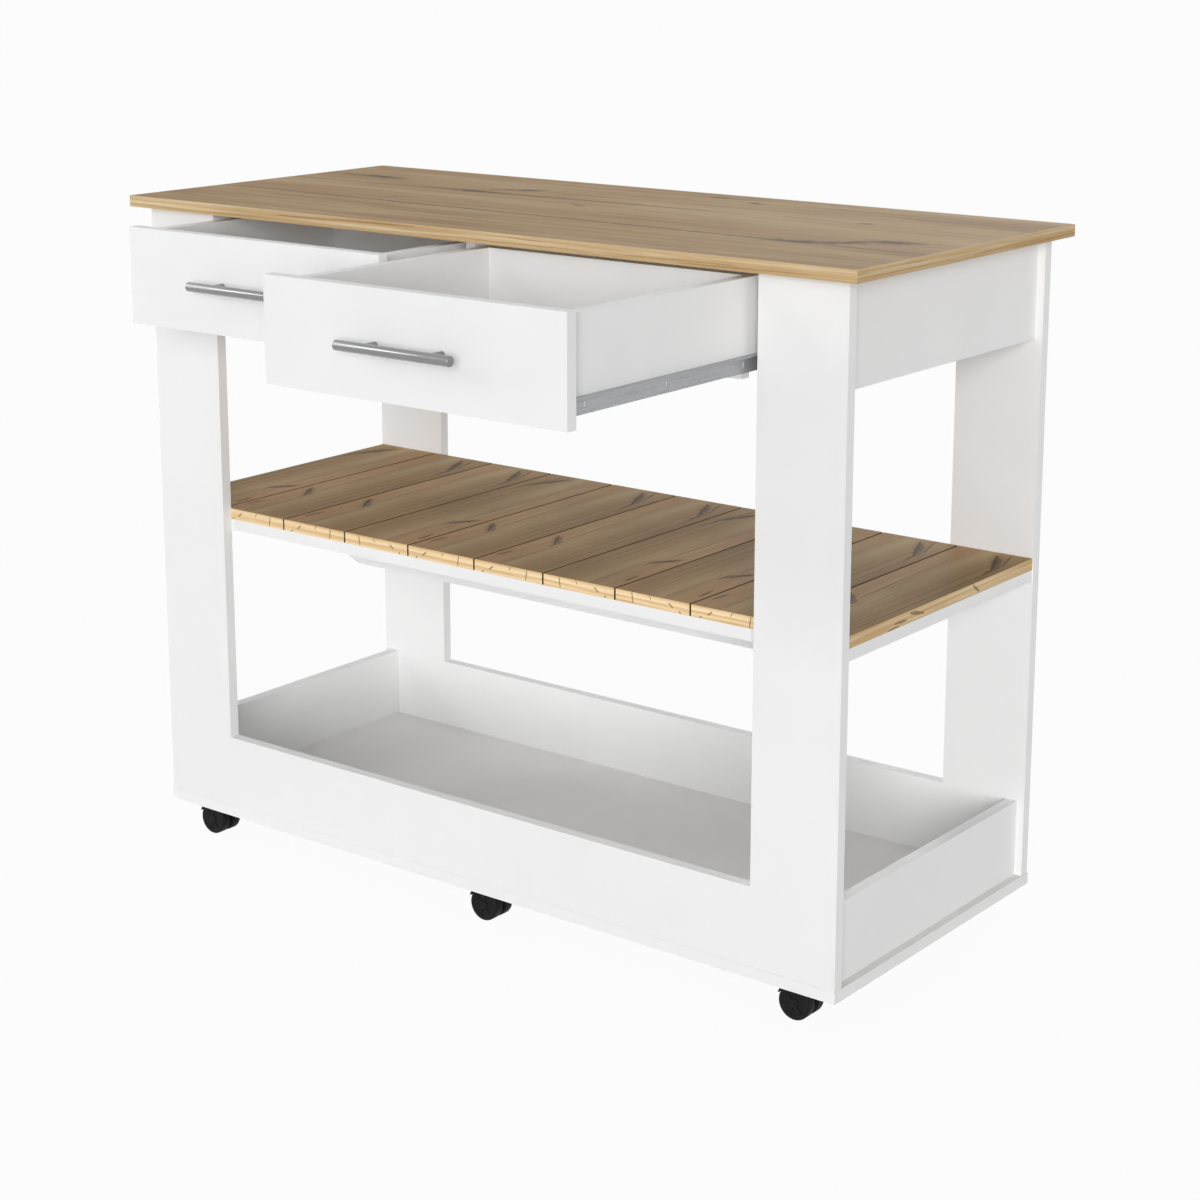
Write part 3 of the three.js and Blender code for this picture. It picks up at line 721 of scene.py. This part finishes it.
def wheel_profile(inner, outer):
    """Half the section of one wheel, from its hub over the tread to the axle."""
    cap = HUB_RADIUS - HUB_EDGE
    face = outer - RECESS
    points = [(0.0, outer), (cap, outer)]
    points += rounded(HUB_EDGE, cap, outer - HUB_EDGE, 90, 0, 3)
    points += [(HUB_RADIUS, face), (RIM_RADIUS, face)]
    points += [(RIM_RADIUS + RIM_SLOPE, outer - RIM_DROP), (RIM_RADIUS + RIM_LAND, outer)]
    points += rounded(TREAD_EDGE, WHEEL_RADIUS - TREAD_EDGE, outer - TREAD_EDGE, 80, 0, 6)
    points += rounded(INNER_EDGE, WHEEL_RADIUS - INNER_EDGE, inner + INNER_EDGE, 0, -80, 4)
    return points + [(AXLE_RADIUS, inner), (AXLE_RADIUS, 0.0)]


def add_spokes(bm, face, flip):
    """Flat ribs in the recess between hub and rim."""
    size = Matrix.Diagonal((RIM_RADIUS - HUB_RADIUS, SPOKE_WIDTH, SPOKE_RISE, 1.0))
    middle = Matrix.Translation(((RIM_RADIUS + HUB_RADIUS) / 2, 0.0, face + SPOKE_RISE / 2))
    for i in range(SPOKES):
        spoke = Matrix.Rotation(math.radians(360 / SPOKES * i + SPOKE_START), 4, "Z")
        bmesh.ops.create_cube(bm, size=1.0, matrix=flip @ spoke @ middle @ size)


def twin_wheel(full):
    """Two wheels and their axle along Y, as wide over all as given."""
    bm = bmesh.new()
    inner, outer = WHEEL_GAP / 2, full / 2
    for sign in (-1, 1):
        flip = Matrix.Rotation(math.radians(-90 * sign), 4, "X")
        turned(bm, wheel_profile(inner, outer), 64, flip)
        add_spokes(bm, outer - RECESS, flip)
    bmesh.ops.remove_doubles(bm, verts=bm.verts, dist=1e-6)
    return solid("twin_wheel", bm, TREAD, 40.0)


def add_casters():
    low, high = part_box(f"caster_{CASTERS[0]}_wheels")
    mesh = twin_wheel(high.y - low.y)
    for name in CASTERS:
        low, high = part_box(f"caster_{name}_wheels")
        wheels = add_piece(f"{name}_twin_wheel", mesh, f"{name}_wheels",
                           (low + high) / 2)
        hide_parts(f"caster_{name}_wheels")


# ------------------------------------------------------------------ screws

def cross_outline(reach, arm):
    """The corners of a cross, in order."""
    return [(reach, -arm), (reach, arm), (arm, arm), (arm, reach), (-arm, reach), (-arm, arm),
            (-reach, arm), (-reach, -arm), (-arm, -arm), (-arm, -reach), (arm, -reach), (arm, -arm)]


def cross_screw(bm, turn, head):
    """A pan head with a cross recess; its flat base lies in the frame's XY plane."""
    radius, height = head
    edge = height * 0.75
    profile = [(0.0, 0.0), (radius, 0.0)]
    profile += rounded(edge, radius - edge, height * 0.25, 0, 80, 4)
    rim = turned(bm, profile + [(radius * 0.68, height)], 20, turn)[-1]
    cross = cross_outline(radius * 0.55, radius * 0.13)
    mouth = [bm.verts.new(turn @ Vector((x, y, height))) for x, y in cross]
    pit = [bm.verts.new(turn @ Vector((x * 0.7, y * 0.7, height * 0.4))) for x, y in cross]
    edges = []
    for loop in (rim, mouth):
        for pair in zip(loop, loop[1:] + loop[:1]):
            edges.append(bm.edges.get(pair) or bm.edges.new(pair))
    bmesh.ops.triangle_fill(bm, edges=edges, use_beauty=True)
    for i, corner in enumerate(mouth):
        j = (i + 1) % len(mouth)
        bm.faces.new((corner, mouth[j], pit[j], pit[i]))
    bm.faces.new(pit)


def plate_screws(bm):
    """Four screws under each caster's mounting plate."""
    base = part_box("base_board")[0].z
    for name in CASTERS:
        low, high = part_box(f"caster_{name}_swivel")
        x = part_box(f"caster_{name}_wheels")[0].x + WHEEL_RADIUS + CASTER_TRAIL
        y = (low.y + high.y) / 2
        for dx in (-PLATE_SCREW, PLATE_SCREW):
            for dy in (-PLATE_SCREW, PLATE_SCREW):
                cross_screw(bm, facing((x + dx, y + dy, base), (0, 0, -1)), PLATE_HEAD)


def channel_screws(bm, side):
    """Three screws through each cabinet member of a drawer's slides."""
    for hand in SIDES:
        channel = f"{side}_cabinet_channel_{hand}"
        low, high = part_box(channel)
        web = outer_x(channel, hand) + INWARD[hand] * SHEET
        for y in CHANNEL_SCREWS:
            at = (web, low.y + y, (low.z + high.z) / 2)
            cross_screw(bm, facing(at, (INWARD[hand], 0, 0)), CHANNEL_HEAD)


def pull_screws(bm, side):
    """The two screws of a pull, seen inside the drawer."""
    low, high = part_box(f"{side}_drawer_pull")
    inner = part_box(f"{side}_drawer_front")[1].y
    for sign in (-1, 1):
        at = ((low.x + high.x) / 2 + sign * POST_SPACING / 2, inner, (low.z + high.z) / 2)
        cross_screw(bm, facing(at, (0, 1, 0)), PULL_HEAD)


def slide_screws(bm, side):
    """Three screws up through the foot of each drawer slide."""
    for hand in SIDES:
        low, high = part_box(f"{side}_drawer_slide_{hand}")
        x = outer_x(f"{side}_drawer_side_{hand}", hand) + INWARD[hand] * SLIDE_SCREW_INSET
        for y in SLIDE_SCREWS:
            cross_screw(bm, facing((x, low.y + y, low.z), (0, 0, -1)), SLIDE_HEAD)


def add_screws():
    bm = bmesh.new()
    plate_screws(bm)
    for side in SIDES:
        channel_screws(bm, side)
    add_piece("carcass_screws", solid("carcass_screws", bm, SCREW), "carcass")
    for side in SIDES:
        bm = bmesh.new()
        pull_screws(bm, side)
        slide_screws(bm, side)
        name = f"{side}_drawer_screws"
        add_piece(name, solid(name, bm, SCREW), f"{side}_drawer")


# ------------------------------------------------------------------ slide rollers

def roller(bm, at):
    """A nylon roller about X with a raised boss on both faces."""
    half = ROLLER_WIDTH / 2
    boss, rim = ROLLER_STEP
    outline = [(ROLLER_BORE, half + ROLLER_BOSS), (ROLLER_RADIUS - boss, half + ROLLER_BOSS),
               (ROLLER_RADIUS - rim, half + ROLLER_FACE),
               (ROLLER_RADIUS - ROLLER_CHAMFER, half + ROLLER_FACE),
               (ROLLER_RADIUS, half - ROLLER_CHAMFER)]
    lower = [(radius, -height) for radius, height in outline]
    turned(bm, lower + outline[::-1] + lower[:1], 40, along("X", at))


def cabinet_roller(bm, side, hand):
    """The roller at the front end of a cabinet member."""
    channel = f"{side}_cabinet_channel_{hand}"
    low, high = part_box(channel)
    x = outer_x(channel, hand) + INWARD[hand] * (2 * SHEET + ROLLER_WIDTH / 2)
    roller(bm, (x, low.y + ROLLER_INSET, high.z - ROLLER_DROP))


def drawer_roller(bm, side, hand):
    """The roller at the back end of a drawer member, under the top flange of the cabinet's."""
    x = outer_x(f"{side}_drawer_side_{hand}", hand) - INWARD[hand] * (2 * SHEET + ROLLER_WIDTH / 2)
    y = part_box(f"{side}_drawer_slide_{hand}")[1].y - ROLLER_INSET
    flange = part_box(f"{side}_cabinet_channel_{hand}")[1].z - CHANNEL_PLAY
    roller(bm, (x, y, flange - (SHEET + FLANGE_PLAY + ROLLER_DROP)))


def add_rollers():
    bm = bmesh.new()
    for side in SIDES:
        for hand in SIDES:
            cabinet_roller(bm, side, hand)
    add_piece("cabinet_rollers", solid("cabinet_rollers", bm, NYLON, 30.0), "carcass")
    for side in SIDES:
        bm = bmesh.new()
        for hand in SIDES:
            drawer_roller(bm, side, hand)
        name = f"{side}_drawer_rollers"
        add_piece(name, solid(name, bm, NYLON, 30.0), f"{side}_drawer")


# ------------------------------------------------------------------ floor, light, camera

def seen_by(tree, *rays):
    """1 for the given kinds of ray."""
    path = add_node(tree, "ShaderNodeLightPath")
    result = path.outputs[rays[0]]
    for ray in rays[1:]:
        either = add_node(tree, "ShaderNodeMath", result, path.outputs[ray])
        either.operation = "MAXIMUM"
        result = either.outputs[0]
    return result


def studio_white():
    """A floor that is near white from above, keeps a faint shadow, and is clear from below."""
    material = bpy.data.materials.new("studio_white")
    material.use_nodes = True
    tree = material.node_tree
    tree.nodes.clear()
    diffuse = add_node(tree, "ShaderNodeBsdfDiffuse", FLOOR_GREY)
    glow = add_node(tree, "ShaderNodeEmission", PLAIN_WHITE, 1.0)
    lift = add_node(tree, "ShaderNodeMath", seen_by(tree, "Is Camera Ray", "Is Glossy Ray"), FLOOR_LIFT)
    lift.operation = "MULTIPLY"
    above = add_node(tree, "ShaderNodeMixShader", lift.outputs[0], diffuse.outputs[0], glow.outputs[0])
    below = add_node(tree, "ShaderNodeBsdfTransparent")
    side = add_node(tree, "ShaderNodeNewGeometry").outputs["Backfacing"]
    both = add_node(tree, "ShaderNodeMixShader", side, above.outputs[0], below.outputs[0])
    add_node(tree, "ShaderNodeOutputMaterial", both.outputs[0])
    return material


def add_floor():
    bm = bmesh.new()
    bmesh.ops.create_grid(bm, x_segments=1, y_segments=1, size=FLOOR_REACH)
    mesh = bpy.data.meshes.new("studio_floor")
    bm.to_mesh(mesh)
    bm.free()
    mesh.materials.append(studio_white())
    floor = bpy.data.objects.new("studio_floor", mesh)
    floor.location.z = -FLOOR_DROP
    bpy.context.scene.collection.objects.link(floor)


def add_world(ambient):
    """Soft light from all around, in front of a plain white background."""
    world = bpy.data.worlds.new("studio")
    bpy.context.scene.world = world
    world.use_nodes = True
    tree = world.node_tree
    tree.nodes.clear()
    light = add_node(tree, "ShaderNodeBackground", PLAIN_WHITE, ambient)
    white = add_node(tree, "ShaderNodeBackground", PLAIN_WHITE, 1.0)
    seen = seen_by(tree, "Is Camera Ray", "Is Glossy Ray", "Is Transmission Ray")
    mix = add_node(tree, "ShaderNodeMixShader", seen, light.outputs[0], white.outputs[0])
    add_node(tree, "ShaderNodeOutputWorld", mix.outputs[0])


def add_sun(name, azimuth, elevation, spread, level):
    """A soft parallel light; level is the brightness it gives a white surface that faces it."""
    data = bpy.data.lights.new(name, "SUN")
    data.angle = math.radians(spread)
    data.energy = level * math.pi
    lamp = bpy.data.objects.new(name, data)
    a, e = math.radians(azimuth), math.radians(elevation)
    toward = Vector((math.sin(a) * math.cos(e), -math.cos(a) * math.cos(e), math.sin(e)))
    lamp.rotation_euler = toward.to_track_quat("Z", "Y").to_euler()
    bpy.context.scene.collection.objects.link(lamp)


def add_camera():
    data = bpy.data.cameras.new("camera")
    data.sensor_width = SENSOR_WIDTH
    data.lens = LENS
    data.shift_y = SHIFT
    data.clip_end = FAR
    camera = bpy.data.objects.new("camera", data)
    camera.location = EYE
    camera.rotation_euler = (Vector(AIM) - Vector(EYE)).to_track_quat("-Z", "Y").to_euler()
    bpy.context.scene.collection.objects.link(camera)
    bpy.context.scene.camera = camera


dress_nodes()
soften_nodes()
for side in SIDES:
    add_pull(side)
add_casters()
add_screws()
add_rollers()

add_floor()
add_world(AMBIENT)
for sun in SUNS:
    add_sun(*sun)
add_camera()
bpy.context.scene.view_settings.view_transform = "Standard"
